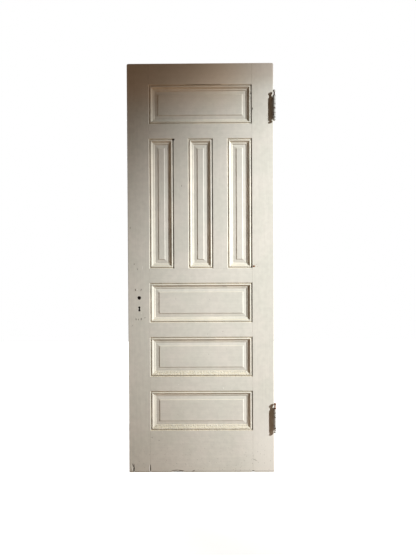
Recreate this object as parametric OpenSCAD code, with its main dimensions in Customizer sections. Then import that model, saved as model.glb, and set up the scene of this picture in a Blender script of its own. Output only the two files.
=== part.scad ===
// Panelled interior door leaf on a pair of ball-tip butt hinges. Stiles, rails and muntins are joined
// with tenons, raised panels stand loose in grooves, and mitred mouldings are planted round each panel
// on both faces. A mortise lock sits in the lock stile with its bolts drawn in. The origin is the middle
// of the leaf's bottom edge. +X points to the hinge side, +Z up, and the face that the leaf opens
// towards looks along -Y.

/* [Leaf] */
// Width of the leaf
door_w = 762; // [742:1:800]
// Height of the leaf
door_h = 2134; // [2080:1:2250]
// Thickness of the leaf
door_t = 44.5; // [43:0.5:48]
// Radius of the worn top corners
top_corner_r = 9; // [3:0.5:14]
// Radius of the worn bottom corners
bottom_corner_r = 5; // [3:0.5:12]
// Radius of the eased arrises along the outer edges of the stiles
arris_r = 3; // [1:0.25:4]

/* [Stiles, rails and muntins] */
// Width of each stile
stile_w = 111; // [108:1:118]
// Height of the top rail
top_rail_h = 107; // [90:1:130]
// Height of each of the four rails between panels
rail_h = 71.5; // [60:0.5:84]
// Height of the bottom rail
bottom_rail_h = 217; // [180:1:240]
// Width of each muntin between the upright panels
muntin_w = 72; // [60:1:80]
// Height of the opening of each of the three lower lying panels
lying_h = 212; // [190:1:225]
// Height of the top panel's opening
top_panel_h = 207.5; // [190:0.5:225]
// Width of the panel grooves and of the mortises
groove_w = 12.7; // [11:0.1:14]
// Depth of the panel grooves
groove_d = 12; // [11:0.5:14]
// Length of each rail tenon from its shoulder
tenon_l = 70; // [50:1:85]
// Depth left free beyond the end of each tenon
mortise_spare = 3; // [1:0.5:6]
// Height of the haunch beside the outermost tenons
haunch_h = 32; // [24:1:40]
// Height left between the two tenons of the bottom rail
tenon_split = 36; // [20:1:60]
// Clearance between one wooden piece and the next
joint_gap = 0.2; // [0.1:0.05:0.4]

/* [Panels] */
// Reach of a panel's tongue into its groove
tongue_l = 10; // [8:0.5:10.5]
// Drop of the raised field below the face of the frame
field_drop = 8; // [6:0.5:9]
// Height of the shoulder round the raised field
shoulder_h = 3; // [2:0.25:4]
// Run of the shoulder's slope
shoulder_run = 4; // [2:0.25:5]
// Share of an upright panel's bare half width, beside the moulding, that its margin takes
margin_share = 0.47; // [0.4:0.01:0.5]

/* [Planted mouldings] */
// Width of the moulding
mould_w = 31.5; // [29:0.5:36]
// Radius of the eased lip beside the frame
lip_r = 4.4; // [3:0.1:5]
// Drop of the lip below the face of the frame
lip_drop = 0.3; // [0:0.1:1]
// Width of the quirk between the lip and the bead
quirk_w = 3; // [2:0.25:4]
// Depth of the quirk below the face of the frame
quirk_d = 5.2; // [4:0.1:6.5]
// Radius of the bead
bead_r = 4.3; // [3.5:0.1:5]
// Drop of the bead's crest below the face of the frame
bead_drop = 0.6; // [0.2:0.1:1.5]
// Width of the slope that falls from the bead
slope_w = 6.8; // [4:0.1:9]
// Fall of the slope
slope_fall = 6.8; // [4:0.1:8]
// Fall of the narrow band from the slope to the nose
band_fall = 0.6; // [0.2:0.1:1.5]
// Radius of the rounded nose on the panel
nose_r = 6; // [4:0.5:7]
// Half of the open line at each mitre
mitre_gap = 0.15; // [0.1:0.05:0.4]

/* [Lock cut-outs] */
// Distance from the lock edge to the spindle and the keyhole
backset = 58; // [56:1:62]
// Height of the spindle hole above the bottom of the leaf
spindle_z = 917; // [890:1:940]
// Radius of the spindle hole
spindle_r = 9.5; // [8:0.5:11]
// Distance from the spindle down to the keyhole's centre
key_drop = 58; // [54:1:64]
// Radius of the keyhole's two round ends
key_r = 6; // [5:0.25:7]
// Width of the keyhole's waist
key_waist = 7.6; // [6:0.2:9]
// Distance between the keyhole's two round ends
key_rise = 14.4; // [12:0.2:18]
// Depth of the lock mortise beyond the lock
pocket_spare = 2; // [0.5:0.5:4]
// Clearance round the lock in its mortise
pocket_gap = 0.3; // [0.2:0.1:0.8]
// Radius of the empty screw holes that the knob plates have left
plate_hole_r = 1.7; // [1.2:0.1:2.2]
// Depth of the plate screw holes
plate_hole_d = 12; // [6:0.5:13]
// Distance between two plate screw holes side by side
plate_hole_w = 29; // [24:0.5:34]
// Distance between the upper and the lower plate screw holes
plate_hole_h = 153; // [130:1:170]
// Rise of the upper plate screw holes above the spindle
plate_hole_rise = 42; // [34:1:56]
// Distance of the plate screw holes' middle from the spindle, towards the lock edge
plate_hole_shift = 4; // [0:0.5:8]

/* [Mortise lock] */
// Height of the lock case
lock_h = 106; // [104:1:120]
// Thickness of the lock, its cap included
lock_t = 16.4; // [15:0.2:18]
// Depth of the lock case behind the face plate
lock_d = 84.6; // [82:0.2:88]
// Wall of the lock case
lock_wall = 1.8; // [1.2:0.1:2.2]
// Thickness of the cap over the lock case
cap_t = 1.6; // [1:0.1:2]
// Height of the face plate
face_h = 166; // [150:1:190]
// Width of the face plate
face_w = 22.6; // [20:0.2:25]
// Thickness of the face plate
face_t = 3; // [2:0.2:4]
// Distance of each face plate screw from the plate's end
face_screw_inset = 10; // [7:0.5:14]
// Radius of the face plate screws' shank
face_screw_r = 1.5; // [1.2:0.1:1.8]
// Radius of the face plate screws' head
face_head_r = 3.2; // [2.6:0.1:3.6]
// Length of the face plate screws
face_screw_l = 22; // [16:1:28]
// Running clearance of the lock's moving pieces
lock_play = 0.3; // [0.2:0.05:0.4]
// Radius of the hub that the spindle turns
hub_r = 8.6; // [8:0.1:9]
// Radius of the hub's bosses in the case and the cap
hub_boss_r = 7.4; // [6.6:0.1:7.8]
// Width of the hub's square hole
hub_square = 7.6; // [6.6:0.1:8]
// Reach of the hub's arm from the spindle
arm_reach = 16.2; // [15.4:0.1:16.4]
// Thickness of the hub's arm
arm_t = 3.2; // [2.4:0.1:3.4]
// Turn of the hub that draws the latch in, in degrees
hub_turn = 40; // [38:1:42]
// Travel of the latch bolt
latch_throw = 10; // [9.5:0.25:10.5]
// Height of the latch bolt's head
latch_h = 22; // [18:0.5:23]
// Thickness of the heads of the latch bolt and the dead bolt
bolt_t = 11; // [9:0.5:11.5]
// Length of the latch bolt's head
latch_l = 26; // [24:0.5:28]
// Width of the blunt tip of the latch bolt
latch_tip_w = 2; // [1:0.25:4]
// Length of the riser behind the latch bolt's head
riser_l = 6; // [4:0.5:8]
// Height of the bar above the hub
bar_h = 4; // [3:0.1:4.2]
// Thickness of the latch bar and of the dead bolt's tail
bar_t = 4; // [3:0.25:6]
// Length of the lug that the hub's arm pushes
lug_l = 4; // [3:0.5:6]
// Distance from the spindle down to the dead bolt
bolt_drop = 33; // [31:0.5:34]
// Height of the dead bolt's head
bolt_h = 22; // [18:0.5:22]
// Length of the dead bolt's head
bolt_l = 24; // [20:0.5:28]
// Height of the dead bolt's tail
tail_h = 9; // [7:0.5:10]
// Length of the dead bolt's tail
tail_l = 54; // [48:0.5:56]
// Width of the talon notch that the key turns in
talon_w = 11; // [8:0.5:14]
// Depth of the talon notch
talon_d = 5; // [3:0.25:6]
// Width of the key slot in the lock
slot_key_w = 5; // [4.6:0.1:5.4]
// Radius of the round end of the key slot
slot_key_r = 4.5; // [4:0.1:5]
// Length of the key slot below its round end
slot_key_l = 16; // [12:0.5:18]
// Radius of the post that takes the cap's screw
post_r = 3.6; // [3:0.1:4]
// Inset of the post from the case's inner corner
post_inset = 8; // [6:0.5:10]

/* [Hinges] */
// Drop of the upper hinge's middle below the top of the leaf
upper_hinge_drop = 229; // [160:1:260]
// Rise of the lower hinge's middle above the bottom of the leaf
lower_hinge_rise = 282; // [220:1:320]
// Height of the hinge leaves and of the barrel
hinge_h = 114; // [100:1:130]
// Thickness of the hinge leaves
leaf_t = 3.2; // [2.5:0.1:4]
// Reach of a hinge leaf across the leaf's edge, from the face
leaf_reach = 38; // [34:0.5:41]
// Gap between the two hinge leaves when they are folded shut
leaf_gap = 5; // [3:0.25:6]
// Distance of the barrel's axis in front of the face
barrel_out = 12.8; // [11:0.1:15]
// Radius of the barrel
barrel_r = 7; // [6.4:0.1:8]
// Radius of the loose pin
pin_r = 4; // [3:0.1:4.5]
// Running clearance round the hinge pins and the lock's hub
pin_play = 0.05; // [0.03:0.01:0.08]
// Number of knuckles in the barrel
knuckles = 5; // [3:2:7]
// Clearance between neighbouring knuckles
knuckle_gap = 0.3; // [0.2:0.05:0.6]
// Radius of the ball tips
ball_r = 7; // [6:0.25:8]
// Height of the neck under a ball tip
neck_h = 3.5; // [2:0.25:6]
// Height by which the pins have crept out of their barrels
pin_lift = 11; // [0:0.5:12]
// Depth of the bottom tip's spigot in the lowest knuckle
spigot_l = 9; // [5:0.5:12]
// Radius of the empty screw holes in the jamb's hinge leaves
leaf_hole_r = 2.6; // [2.3:0.1:3]
// Radius of the countersinks
sink_r = 4.6; // [3.6:0.1:5]
// Distance from the face to the screws near the barrel
near_hole_y = 12; // [9:0.5:14]
// Distance from the face to the screws far from the barrel
far_hole_y = 27; // [22:0.5:30]
// Distance between the two near screws
near_hole_pitch = 82; // [70:1:92]
// Distance between the two far screws
far_hole_pitch = 40; // [30:1:56]
// Length of the wood screws
screw_l = 32; // [20:1:40]
// Radius of the wood screws' shank
screw_r = 2.1; // [1.6:0.1:2.4]
// Width of the screws' driving slot
slot_w = 1.2; // [0.8:0.1:1.6]
// Depth of the screws' driving slot
slot_d = 0.9; // [0.5:0.1:1.4]

/* [Damage] */
// Distance of the crack in the lock stile's foot from the lock edge
crack_x = 20; // [14:1:40]
// Width of the crack's spread
crack_w = 11; // [6:0.5:16]
// Height of the crack
crack_h = 46; // [30:1:70]
// Depth of the crack
crack_d = 7; // [3:0.5:10]
// Width of the open joint at the foot of the lock stile
open_joint_w = 3.2; // [1:0.2:5]
// Height of the open joint
open_joint_h = 46; // [20:1:70]
// Depth of the open joint
open_joint_d = 9; // [4:0.5:12]
// Length of the chip in the bottom rail's front edge
chip_l = 72; // [40:1:100]
// Height of the chip
chip_h = 6; // [3:0.5:10]
// Depth of the chip
chip_d = 3; // [1:0.5:5]
// Distance of the chip's middle from the leaf's centre line
chip_x = 124; // [80:1:160]
// Radius of the chip at the foot of the hinge stile's joint
foot_chip_r = 8; // [4:0.5:14]
// Length of the open seam above the top panel's moulding
seam_l = 256; // [120:1:340]
// Width of the seam
seam_w = 2.2; // [0.8:0.1:3]
// Depth of the seam
seam_d = 9; // [4:0.5:12]
// Distance of the seam's middle from the leaf's centre line
seam_x = 12; // [0:1:40]
// Width of the crack in the moulding's quirk beside the top panel
quirk_crack_w = 2.6; // [1:0.1:3]
// Height of the quirk's crack
quirk_crack_h = 62; // [30:1:80]
// Depth of the quirk's crack
quirk_crack_d = 12; // [7:0.5:13]
// Drop of the quirk's crack below the head of the opening
quirk_crack_drop = 56; // [40:1:70]
// Width of the chip beside the left upright panel's mitre
mitre_chip_w = 9; // [5:0.5:11]
// Height of the chip beside the mitre
mitre_chip_h = 16; // [8:0.5:20]
// Depth of the chip beside the mitre
mitre_chip_d = 12; // [5:0.5:13]
// Drop of the chip beside the mitre below the head of the opening
mitre_chip_drop = 7; // [4:0.5:12]

/* [Hidden] */
// Overrun of every cut past the face that it opens
overrun = 1;
// Facets of a full circle in the preview
$fn = 48;
paint = "#dcd5c6";
aged_steel = "#8a7a6a";

half_w = door_w / 2;
half_t = door_t / 2;
open_half = half_w - stile_w;
open_w = 2 * open_half;
tenon_half_t = groove_w / 2 - joint_gap;
upright_w = (open_w - 2 * muntin_w) / 3;
upright_pitch = upright_w + muntin_w;

lower_open_z = bottom_rail_h;
lower_rail_z = lower_open_z + lying_h;
middle_open_z = lower_rail_z + rail_h;
middle_rail_z = middle_open_z + lying_h;
upper_open_z = middle_rail_z + rail_h;
lock_rail_z = upper_open_z + lying_h;
upright_open_z = lock_rail_z + rail_h;
top_rail_z = door_h - top_rail_h;
top_open_z = top_rail_z - top_panel_h;
frieze_rail_z = top_open_z - rail_h;
upright_h = frieze_rail_z - upright_open_z;

// Each opening: its name, its middle along X, its foot, its width and its height
OPENINGS = [
    ["top", 0, top_open_z, open_w, top_panel_h],
    ["left_upright", -upright_pitch, upright_open_z, upright_w, upright_h],
    ["middle_upright", 0, upright_open_z, upright_w, upright_h],
    ["right_upright", upright_pitch, upright_open_z, upright_w, upright_h],
    ["upper_lying", 0, upper_open_z, open_w, lying_h],
    ["middle_lying", 0, middle_open_z, open_w, lying_h],
    ["lower_lying", 0, lower_open_z, open_w, lying_h],
];

// Foot and head of each tenon, first those of the rails that have a groove above and below
GROOVED_RAILS = [lower_rail_z, middle_rail_z, lock_rail_z, frieze_rail_z];
foot_tenon_h = (bottom_rail_h - groove_d - haunch_h - tenon_split) / 2;
foot_tenon_z = haunch_h + foot_tenon_h + tenon_split;
BOTTOM_TENONS = [[haunch_h, haunch_h + foot_tenon_h], [foot_tenon_z, foot_tenon_z + foot_tenon_h]];
TOP_TENONS = [[top_rail_z + groove_d, door_h - haunch_h]];
function rail_tenon(z) = [z + groove_d, z + rail_h - groove_d];
TENONS = concat(BOTTOM_TENONS, [for (z = GROOVED_RAILS) rail_tenon(z)], TOP_TENONS);

// Width of the sloping margin, from the opening's edge to the shoulder. One cutter makes it on all panels.
margin_w = mould_w + margin_share * (upright_w / 2 - mould_w);
// Half thicknesses of a panel at its tongue, at the shoulder's foot and at the field
tongue_half = tenon_half_t;
field_half = half_t - field_drop;
foot_half = field_half - shoulder_h;
function margin_depth(s) = half_t - tongue_half - (foot_half - tongue_half) * s / margin_w;

bead_s = lip_r + quirk_w + bead_r;
bead_d = bead_drop + bead_r;
slope_angle = atan2(slope_fall, slope_w);
slope_s = bead_s + bead_r * sin(slope_angle);
slope_d = bead_d - bead_r * cos(slope_angle);
band_d = slope_d + slope_fall;
nose_s = mould_w - nose_r;
nose_d = band_d + band_fall;
mould_deep = margin_depth(0);

spindle_x = -half_w + backset;
// Places in the lock, counted from the lock edge along X and from the spindle along Z
bar_z = arm_reach + 2 * lock_play;
case_x = face_t + joint_gap;
case_end = case_x + lock_d;
case_head = bar_z + bar_h + 2 * lock_play + lock_wall;
case_foot = case_head - lock_h;
lock_mid_z = (case_head + case_foot) / 2;
face_foot = lock_mid_z - face_h / 2;
face_head = lock_mid_z + face_h / 2;
FACE_SCREWS = [face_foot + face_screw_inset, face_head - face_screw_inset];
cap_y = lock_t / 2 - cap_t;
inner_y = lock_wall - lock_t / 2;
nose_x = joint_gap;
lug_x = backset + arm_t / 2 + 2 * lock_play + latch_throw;
lug_z = hub_r + 2 * lock_play;
tail_z = -bolt_drop - bolt_h / 2;
post_x = case_end - post_inset;
post_z = case_foot + post_inset;

pin_x = half_w + leaf_gap / 2;
pin_y = -half_t - barrel_out;
upper_hinge_z = door_h - upper_hinge_drop;
lower_hinge_z = lower_hinge_rise;
knuckle_pitch = hinge_h / knuckles;
// Length of a screw's point, in shares of its shank's radius
point_share = 3;
LEAF_HOLES = [
    [near_hole_y, near_hole_pitch / 2],
    [near_hole_y, -near_hole_pitch / 2],
    [far_hole_y, far_hole_pitch / 2],
    [far_hole_y, -far_hole_pitch / 2],
];

// Outline of the jagged crack, as shares of its width and height
crack_shares = [
    [0.30, 0], [0.06, 0.22], [0.42, 0.46], [0.22, 0.70], [0.55, 1],
    [0.60, 0.72], [0.82, 0.44], [0.46, 0.20], [0.72, 0],
];
chip_r = (chip_l * chip_l / 4 + chip_h * chip_h) / (2 * chip_h);
// Outline of the seam above the top panel, as shares of its length and width
seam_shares = [[-0.5, 0], [-0.31, 0.7], [-0.08, 1], [0.2, 0.8], [0.36, 0.9], [0.5, 0]];
// Outline of the crack in the quirk, as shares of its width and height
quirk_crack_shares = [
    [0.4, 0], [0, 0.24], [0.45, 0.5], [0.1, 0.78], [0.5, 1],
    [0.7, 0.8], [0.85, 0.52], [0.5, 0.3], [1, 0.18],
];
// Outline of the chip beside the mitre, as shares of its width and height
mitre_chip_shares = [[0, 0], [0.7, 0.06], [1, 0.4], [0.6, 0.66], [0, 1]];
quirk_s = lip_r + quirk_w / 2;

// Box from one corner to the opposite one
module block(low, high) {
    translate(low)
        cube(high - low);
}

// Flat shape drawn in X and Z, cut from the front face to a depth, or right through the leaf
module face_cut(depth) {
    translate([0, depth - half_t, 0])
        rotate([90, 0, 0])
            linear_extrude(height = depth + overrun)
                children();
}

// What a worn corner has lost: the square outside a quarter circle, sx and sz pointing into the leaf
module worn_corner(x, z, sx, sz, r) {
    face_cut(door_t + overrun)
        translate([x + sx * r, z + sz * r])
            difference() {
                translate([min(0, -sx * (r + overrun)), min(0, -sz * (r + overrun))])
                    square(r + overrun);
                circle(r = r);
            }
}

// Upright of full height with its groove, mortises, worn corners and eased outer arrises, side -1 at the
// lock, 1 at the hinges
module stile(side) {
    difference() {
        translate([side * (open_half + stile_w / 2), 0, door_h / 2])
            cube([stile_w, door_t, door_h], center = true);
        translate([side * (open_half + (groove_d - overrun) / 2), 0, door_h / 2])
            cube([groove_d + overrun, groove_w, door_h + 2 * overrun], center = true);
        for (t = TENONS)
            translate([side * (open_half + (tenon_l + mortise_spare) / 2), 0, (t[0] + t[1]) / 2])
                cube([tenon_l + mortise_spare, groove_w, t[1] - t[0] + 2 * joint_gap], center = true);
        worn_corner(side * half_w, door_h, -side, -1, top_corner_r);
        worn_corner(side * half_w, 0, -side, 1, bottom_corner_r);
        for (face = [-1, 1])
            eased_arris(side, face);
    }
}

// What an eased arris has lost along a stile's outer edge: the square outside a quarter circle
module eased_arris(side, face) {
    reach = arris_r + overrun;
    translate([side * (half_w - arris_r), face * (half_t - arris_r), -overrun])
        linear_extrude(height = door_h + 2 * overrun)
            difference() {
                translate([min(0, side * reach), min(0, face * reach)])
                    square(reach);
                circle(r = arris_r);
            }
}

module lock_stile() {
    color(paint)
        difference() {
            stile(-1);
            spindle_hole();
            keyhole();
            lock_mortise();
            plate_holes();
            stile_crack();
        }
}

module spindle_hole() {
    translate([spindle_x, 0, spindle_z])
        rotate([90, 0, 0])
            cylinder(r = spindle_r, h = door_t + 2 * overrun, center = true);
}

// Two round ends joined by a narrower waist
module keyhole() {
    face_cut(door_t + overrun)
        translate([spindle_x, spindle_z - key_drop])
            union() {
                for (end = [-1, 1])
                    translate([0, end * key_rise / 2])
                        circle(r = key_r);
                square([key_waist, key_rise], center = true);
            }
}

// Pocket for the lock, the recess of its face plate and the two screw holes
module lock_mortise() {
    half_y = lock_t / 2 + pocket_gap;
    face_y = face_w / 2 + pocket_gap;
    at_lock() {
        block([-overrun, -half_y, case_foot - pocket_gap],
            [case_end + pocket_spare, half_y, case_head + pocket_gap]);
        block([-overrun, -face_y, face_foot - pocket_gap], [case_x, face_y, face_head + pocket_gap]);
        for (z = FACE_SCREWS)
            translate([0, 0, z])
                rotate([0, 90, 0])
                    cylinder(r = face_screw_r + joint_gap, h = face_screw_l + pocket_spare);
    }
}

// Four empty screw holes round the spindle and the keyhole, in the front and in the back
module plate_holes() {
    for (face = [-1, 1], side = [-1, 1], drop = [0, plate_hole_h])
        translate([
            spindle_x - plate_hole_shift + side * plate_hole_w / 2,
            face * half_t,
            spindle_z + plate_hole_rise - drop,
        ])
            rotate([90, 0, 0])
                cylinder(r = plate_hole_r, h = 2 * plate_hole_d, center = true);
}

module stile_crack() {
    face_cut(crack_d)
        translate([-half_w + crack_x, -overrun])
            polygon([for (p = crack_shares) [p[0] * crack_w, p[1] * (crack_h + overrun)]]);
}

module hinge_stile() {
    color(paint)
        difference() {
            stile(1);
            for (z = [upper_hinge_z, lower_hinge_z])
                hinge_gain(z);
            foot_chip();
        }
}

// Shallow recess for a hinge leaf in the stile's edge, open to the face, and its four screw holes
module hinge_gain(z) {
    block([half_w - leaf_t - joint_gap, -half_t - overrun, z - hinge_h / 2 - joint_gap],
        [half_w + overrun, -half_t + leaf_reach + joint_gap, z + hinge_h / 2 + joint_gap]);
    for (p = LEAF_HOLES)
        translate([half_w, -half_t + p[0], z + p[1]])
            rotate([0, -90, 0])
                cylinder(r = screw_r + joint_gap, h = screw_l + mortise_spare);
}

// Cross-piece between the stiles: body with its panel grooves, tenons, and the haunch between haunch_z
module rail(z, h, tenons, haunch_z, groove_below, groove_above) {
    body_half = open_half - joint_gap;
    haunch_half = open_half + groove_d - joint_gap;
    tenon_half = open_half + tenon_l;
    difference() {
        block([-body_half, -half_t, z], [body_half, half_t, z + h]);
        if (groove_below)
            block([-open_half, -groove_w / 2, z - overrun], [open_half, groove_w / 2, z + groove_d]);
        if (groove_above)
            block([-open_half, -groove_w / 2, z + h - groove_d],
                [open_half, groove_w / 2, z + h + overrun]);
    }
    block([-haunch_half, -tenon_half_t, haunch_z[0]], [haunch_half, tenon_half_t, haunch_z[1]]);
    for (t = tenons)
        block([-tenon_half, -tenon_half_t, t[0]], [tenon_half, tenon_half_t, t[1]]);
}

module grooved_rail(z) {
    color(paint)
        rail(z, rail_h, [rail_tenon(z)], rail_tenon(z), true, true);
}

module top_rail() {
    color(paint)
        rail(top_rail_z, top_rail_h, TOP_TENONS, [top_rail_z + groove_d, door_h], true, false);
}

module bottom_rail() {
    color(paint)
        difference() {
            rail(0, bottom_rail_h, BOTTOM_TENONS, [0, bottom_rail_h - groove_d], false, true);
            open_joint();
            bottom_chip();
            foot_chip();
        }
}

// Wedge of shadow where the bottom rail has drawn away from the lock stile
module open_joint() {
    face_cut(open_joint_d)
        translate([-open_half, 0])
            polygon([
                [-overrun, -overrun], [open_joint_w, -overrun],
                [0, open_joint_h], [-overrun, open_joint_h],
            ]);
}

// Shallow bite out of the bottom rail's lower front edge
module bottom_chip() {
    face_cut(chip_d)
        translate([-chip_x, chip_h - chip_r])
            circle(r = chip_r);
}

// Small bite across the foot of the joint between the bottom rail and the hinge stile
module foot_chip() {
    face_cut(chip_d)
        translate([open_half, 0])
            circle(r = foot_chip_r);
}

// Upright between the frieze rail and the lock rail, with stub tenons in their grooves
module muntin(x) {
    stub_half = muntin_w / 2 - groove_d;
    body_foot = upright_open_z + joint_gap;
    body_head = upright_open_z + upright_h - joint_gap;
    stub_reach = groove_d - joint_gap;
    color(paint)
        translate([x, 0, 0])
            union() {
                difference() {
                    block([-muntin_w / 2, -half_t, body_foot], [muntin_w / 2, half_t, body_head]);
                    for (side = [-1, 1])
                        translate([side * (muntin_w - groove_d + overrun) / 2, 0, door_h / 2])
                            cube([groove_d + overrun, groove_w, door_h], center = true);
                }
                block([-stub_half, -tenon_half_t, upright_open_z - stub_reach],
                    [stub_half, tenon_half_t, upright_open_z + upright_h + stub_reach]);
            }
}

// Section across a raised panel, thin at its tongues and thickest at the field between its shoulders
module panel_section(w) {
    edge = w / 2;
    field = edge - margin_w - shoulder_run;
    side = [
        [edge + tongue_l, tongue_half],
        [edge, tongue_half],
        [edge - margin_w, foot_half],
        [field, field_half],
    ];
    half = concat(side, [for (i = [len(side) - 1 : -1 : 0]) [-side[i][0], side[i][1]]]);
    polygon(concat(half, [for (p = half) -p]));
}

// The two sections, one across and one upright, meet in the mitred slopes of a fielded panel
module panel(o) {
    w = o[3];
    h = o[4];
    color(paint)
        translate([o[1], 0, o[2] + h / 2])
            intersection() {
                linear_extrude(height = h + 2 * tongue_l, center = true)
                    panel_section(w);
                rotate([0, -90, 0])
                    linear_extrude(height = w + 2 * tongue_l, center = true)
                        panel_section(h);
            }
}

// Section of the moulding, depth below the face along x and distance from the frame along y
module moulding_section() {
    back_foot = margin_depth(0) - joint_gap;
    back_nose = margin_depth(mould_w) - joint_gap;
    difference() {
        intersection() {
            square([mould_deep, mould_w]);
            union() {
                translate([lip_drop + lip_r, 0])
                    circle(r = lip_r);
                translate([bead_d, bead_s])
                    circle(r = bead_r);
                translate([nose_d + nose_r, nose_s])
                    circle(r = nose_r);
                polygon([
                    [mould_deep, 0], [quirk_d, 0], [quirk_d, bead_s], [bead_d, bead_s],
                    [slope_d, slope_s], [band_d, slope_s + slope_w], [nose_d, nose_s],
                    [nose_d + nose_r, mould_w], [mould_deep, mould_w],
                ]);
            }
        }
        polygon([
            [back_foot, 0], [mould_deep + overrun, -overrun],
            [mould_deep + overrun, mould_w + overrun], [back_nose, mould_w],
        ]);
    }
}

// One stick of a ring: its section drawn out along X and cut to a mitre at both ends
module moulding_stick(length, reach) {
    foot = -reach + joint_gap;
    half = length / 2 - joint_gap - mitre_gap;
    intersection() {
        translate([-length / 2, -half_t, foot])
            rotate([90, 0, 90])
                linear_extrude(height = length)
                    moulding_section();
        face_cut(door_t)
            polygon([
                [-half - overrun, foot - overrun], [half + overrun, foot - overrun],
                [half - mould_w - overrun, foot + mould_w + overrun],
                [overrun + mould_w - half, foot + mould_w + overrun],
            ]);
    }
}

// Four sticks round an opening, on the front, or turned to the back
module moulding(o, turn) {
    w = o[3];
    h = o[4];
    color(paint)
        translate([o[1], 0, o[2] + h / 2])
            rotate([0, 0, turn])
                for (side = [0 : 3])
                    rotate([0, side * 90, 0])
                        moulding_stick(side % 2 == 0 ? w : h, side % 2 == 0 ? h / 2 : w / 2);
}

// Ring of sticks on the front, with the seam, the crack and the chip that age has opened in two of them
module front_moulding(o) {
    head = o[2] + o[4];
    right = o[1] + o[3] / 2;
    difference() {
        moulding(o, 0);
        if (o[0] == "top") {
            open_seam(head);
            quirk_crack(right, head);
        }
        if (o[0] == "left_upright")
            mitre_chip(right, head);
    }
}

// Gap where the top stick has drawn away from the rail above it
module open_seam(head) {
    face_cut(seam_d)
        translate([seam_x, head + overrun])
            polygon([for (p = seam_shares) [p[0] * seam_l, -p[1] * (seam_w + overrun)]]);
}

module quirk_crack(right, head) {
    face_cut(quirk_crack_d)
        translate([right - quirk_s - quirk_crack_w / 2, head - quirk_crack_drop - quirk_crack_h])
            polygon([for (p = quirk_crack_shares) [p[0] * quirk_crack_w, p[1] * quirk_crack_h]]);
}

module mitre_chip(right, head) {
    face_cut(mitre_chip_d)
        translate([right + overrun, head - mitre_chip_drop])
            polygon([
                for (p = mitre_chip_shares) [-p[0] * (mitre_chip_w + overrun), -p[1] * mitre_chip_h]
            ]);
}

// Puts a lock piece, drawn from the lock edge and the spindle, at its place in the stile
module at_lock() {
    translate([-half_w, 0, spindle_z])
        children();
}

// Flat shape drawn in X and Z, given a thickness between two places along Y
module upright_plate(y0, y1) {
    translate([0, y1, 0])
        rotate([90, 0, 0])
            linear_extrude(height = y1 - y0)
                children();
}

// Ways through the case and the cap for the hub's boss and for the key
module lock_windows() {
    upright_plate(-lock_t, lock_t)
        translate([backset, 0])
            circle(r = hub_boss_r + pin_play);
    upright_plate(-lock_t, lock_t)
        translate([backset, key_rise / 2 - key_drop])
            union() {
                circle(r = slot_key_r);
                translate([-slot_key_w / 2, -slot_key_l])
                    square([slot_key_w, slot_key_l]);
            }
}

// Ways through the face plate and the case's front for the two bolts
module bolt_windows() {
    half_y = bolt_t / 2 + lock_play;
    for (b = [[0, latch_h], [-bolt_drop, bolt_h]])
        block([-overrun, -half_y, b[0] - b[1] / 2 - lock_play],
            [case_x + lock_wall + overrun, half_y, b[0] + b[1] / 2 + lock_play]);
}

// Shallow cast box, open towards the cap, with a post for the cap's screw
module lock_case() {
    color(aged_steel)
        at_lock()
            difference() {
                union() {
                    difference() {
                        block([case_x, -lock_t / 2, case_foot], [case_end, cap_y - joint_gap, case_head]);
                        block([case_x + lock_wall, inner_y, case_foot + lock_wall],
                            [case_end - lock_wall, lock_t, case_head - lock_wall]);
                    }
                    upright_plate(-lock_t / 2, cap_y - joint_gap)
                        translate([post_x, post_z])
                            circle(r = post_r);
                }
                lock_windows();
                bolt_windows();
                upright_plate(inner_y, lock_t)
                    translate([post_x, post_z])
                        circle(r = face_screw_r + joint_gap);
            }
}

module lock_cap() {
    color(aged_steel)
        at_lock()
            difference() {
                block([case_x, cap_y, case_foot], [case_end, lock_t / 2, case_head]);
                lock_windows();
                translate([post_x, lock_t / 2, post_z])
                    rotate([90, 0, 0])
                        screw_seat(face_head_r, face_screw_r + joint_gap, cap_t);
            }
}

module lock_faceplate() {
    color(aged_steel)
        at_lock()
            difference() {
                block([0, -face_w / 2, face_foot], [face_t, face_w / 2, face_head]);
                bolt_windows();
                for (z = FACE_SCREWS)
                    translate([0, 0, z])
                        rotate([0, 90, 0])
                            screw_seat(face_head_r, face_screw_r + joint_gap, face_t);
            }
}

// Spring latch drawn in flush: bevelled head, riser, and a bar over the hub with the lug for its arm
module latch_bolt() {
    end = nose_x + latch_l;
    tip_y = latch_tip_w - bolt_t / 2;
    color(aged_steel)
        at_lock()
            union() {
                translate([0, 0, -latch_h / 2])
                    linear_extrude(height = latch_h)
                        polygon([
                            [nose_x, -bolt_t / 2], [end, -bolt_t / 2], [end, bolt_t / 2],
                            [nose_x + latch_throw, bolt_t / 2], [nose_x, tip_y],
                        ]);
                block([end - riser_l, -bar_t / 2, -latch_h / 2], [end, bar_t / 2, bar_z + bar_h]);
                block([end - riser_l, -bar_t / 2, bar_z], [lug_x + lug_l, bar_t / 2, bar_z + bar_h]);
                block([lug_x, -bar_t / 2, lug_z], [lug_x + lug_l, bar_t / 2, bar_z + bar_h]);
            }
}

// Follower that the knob's spindle turns: round body and bosses, a square hole and one arm
module lock_hub() {
    color(aged_steel)
        at_lock()
            translate([backset, 0, 0])
                difference() {
                    union() {
                        upright_plate(inner_y + lock_play, cap_y - joint_gap - lock_play)
                            circle(r = hub_r);
                        upright_plate(-lock_t / 2, lock_t / 2)
                            circle(r = hub_boss_r);
                        upright_plate(-bar_t / 2, bar_t / 2)
                            rotate(-hub_turn)
                                translate([-arm_t / 2, 0])
                                    square([arm_t, arm_reach]);
                    }
                    upright_plate(-lock_t, lock_t)
                        square(hub_square, center = true);
                }
}

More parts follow.
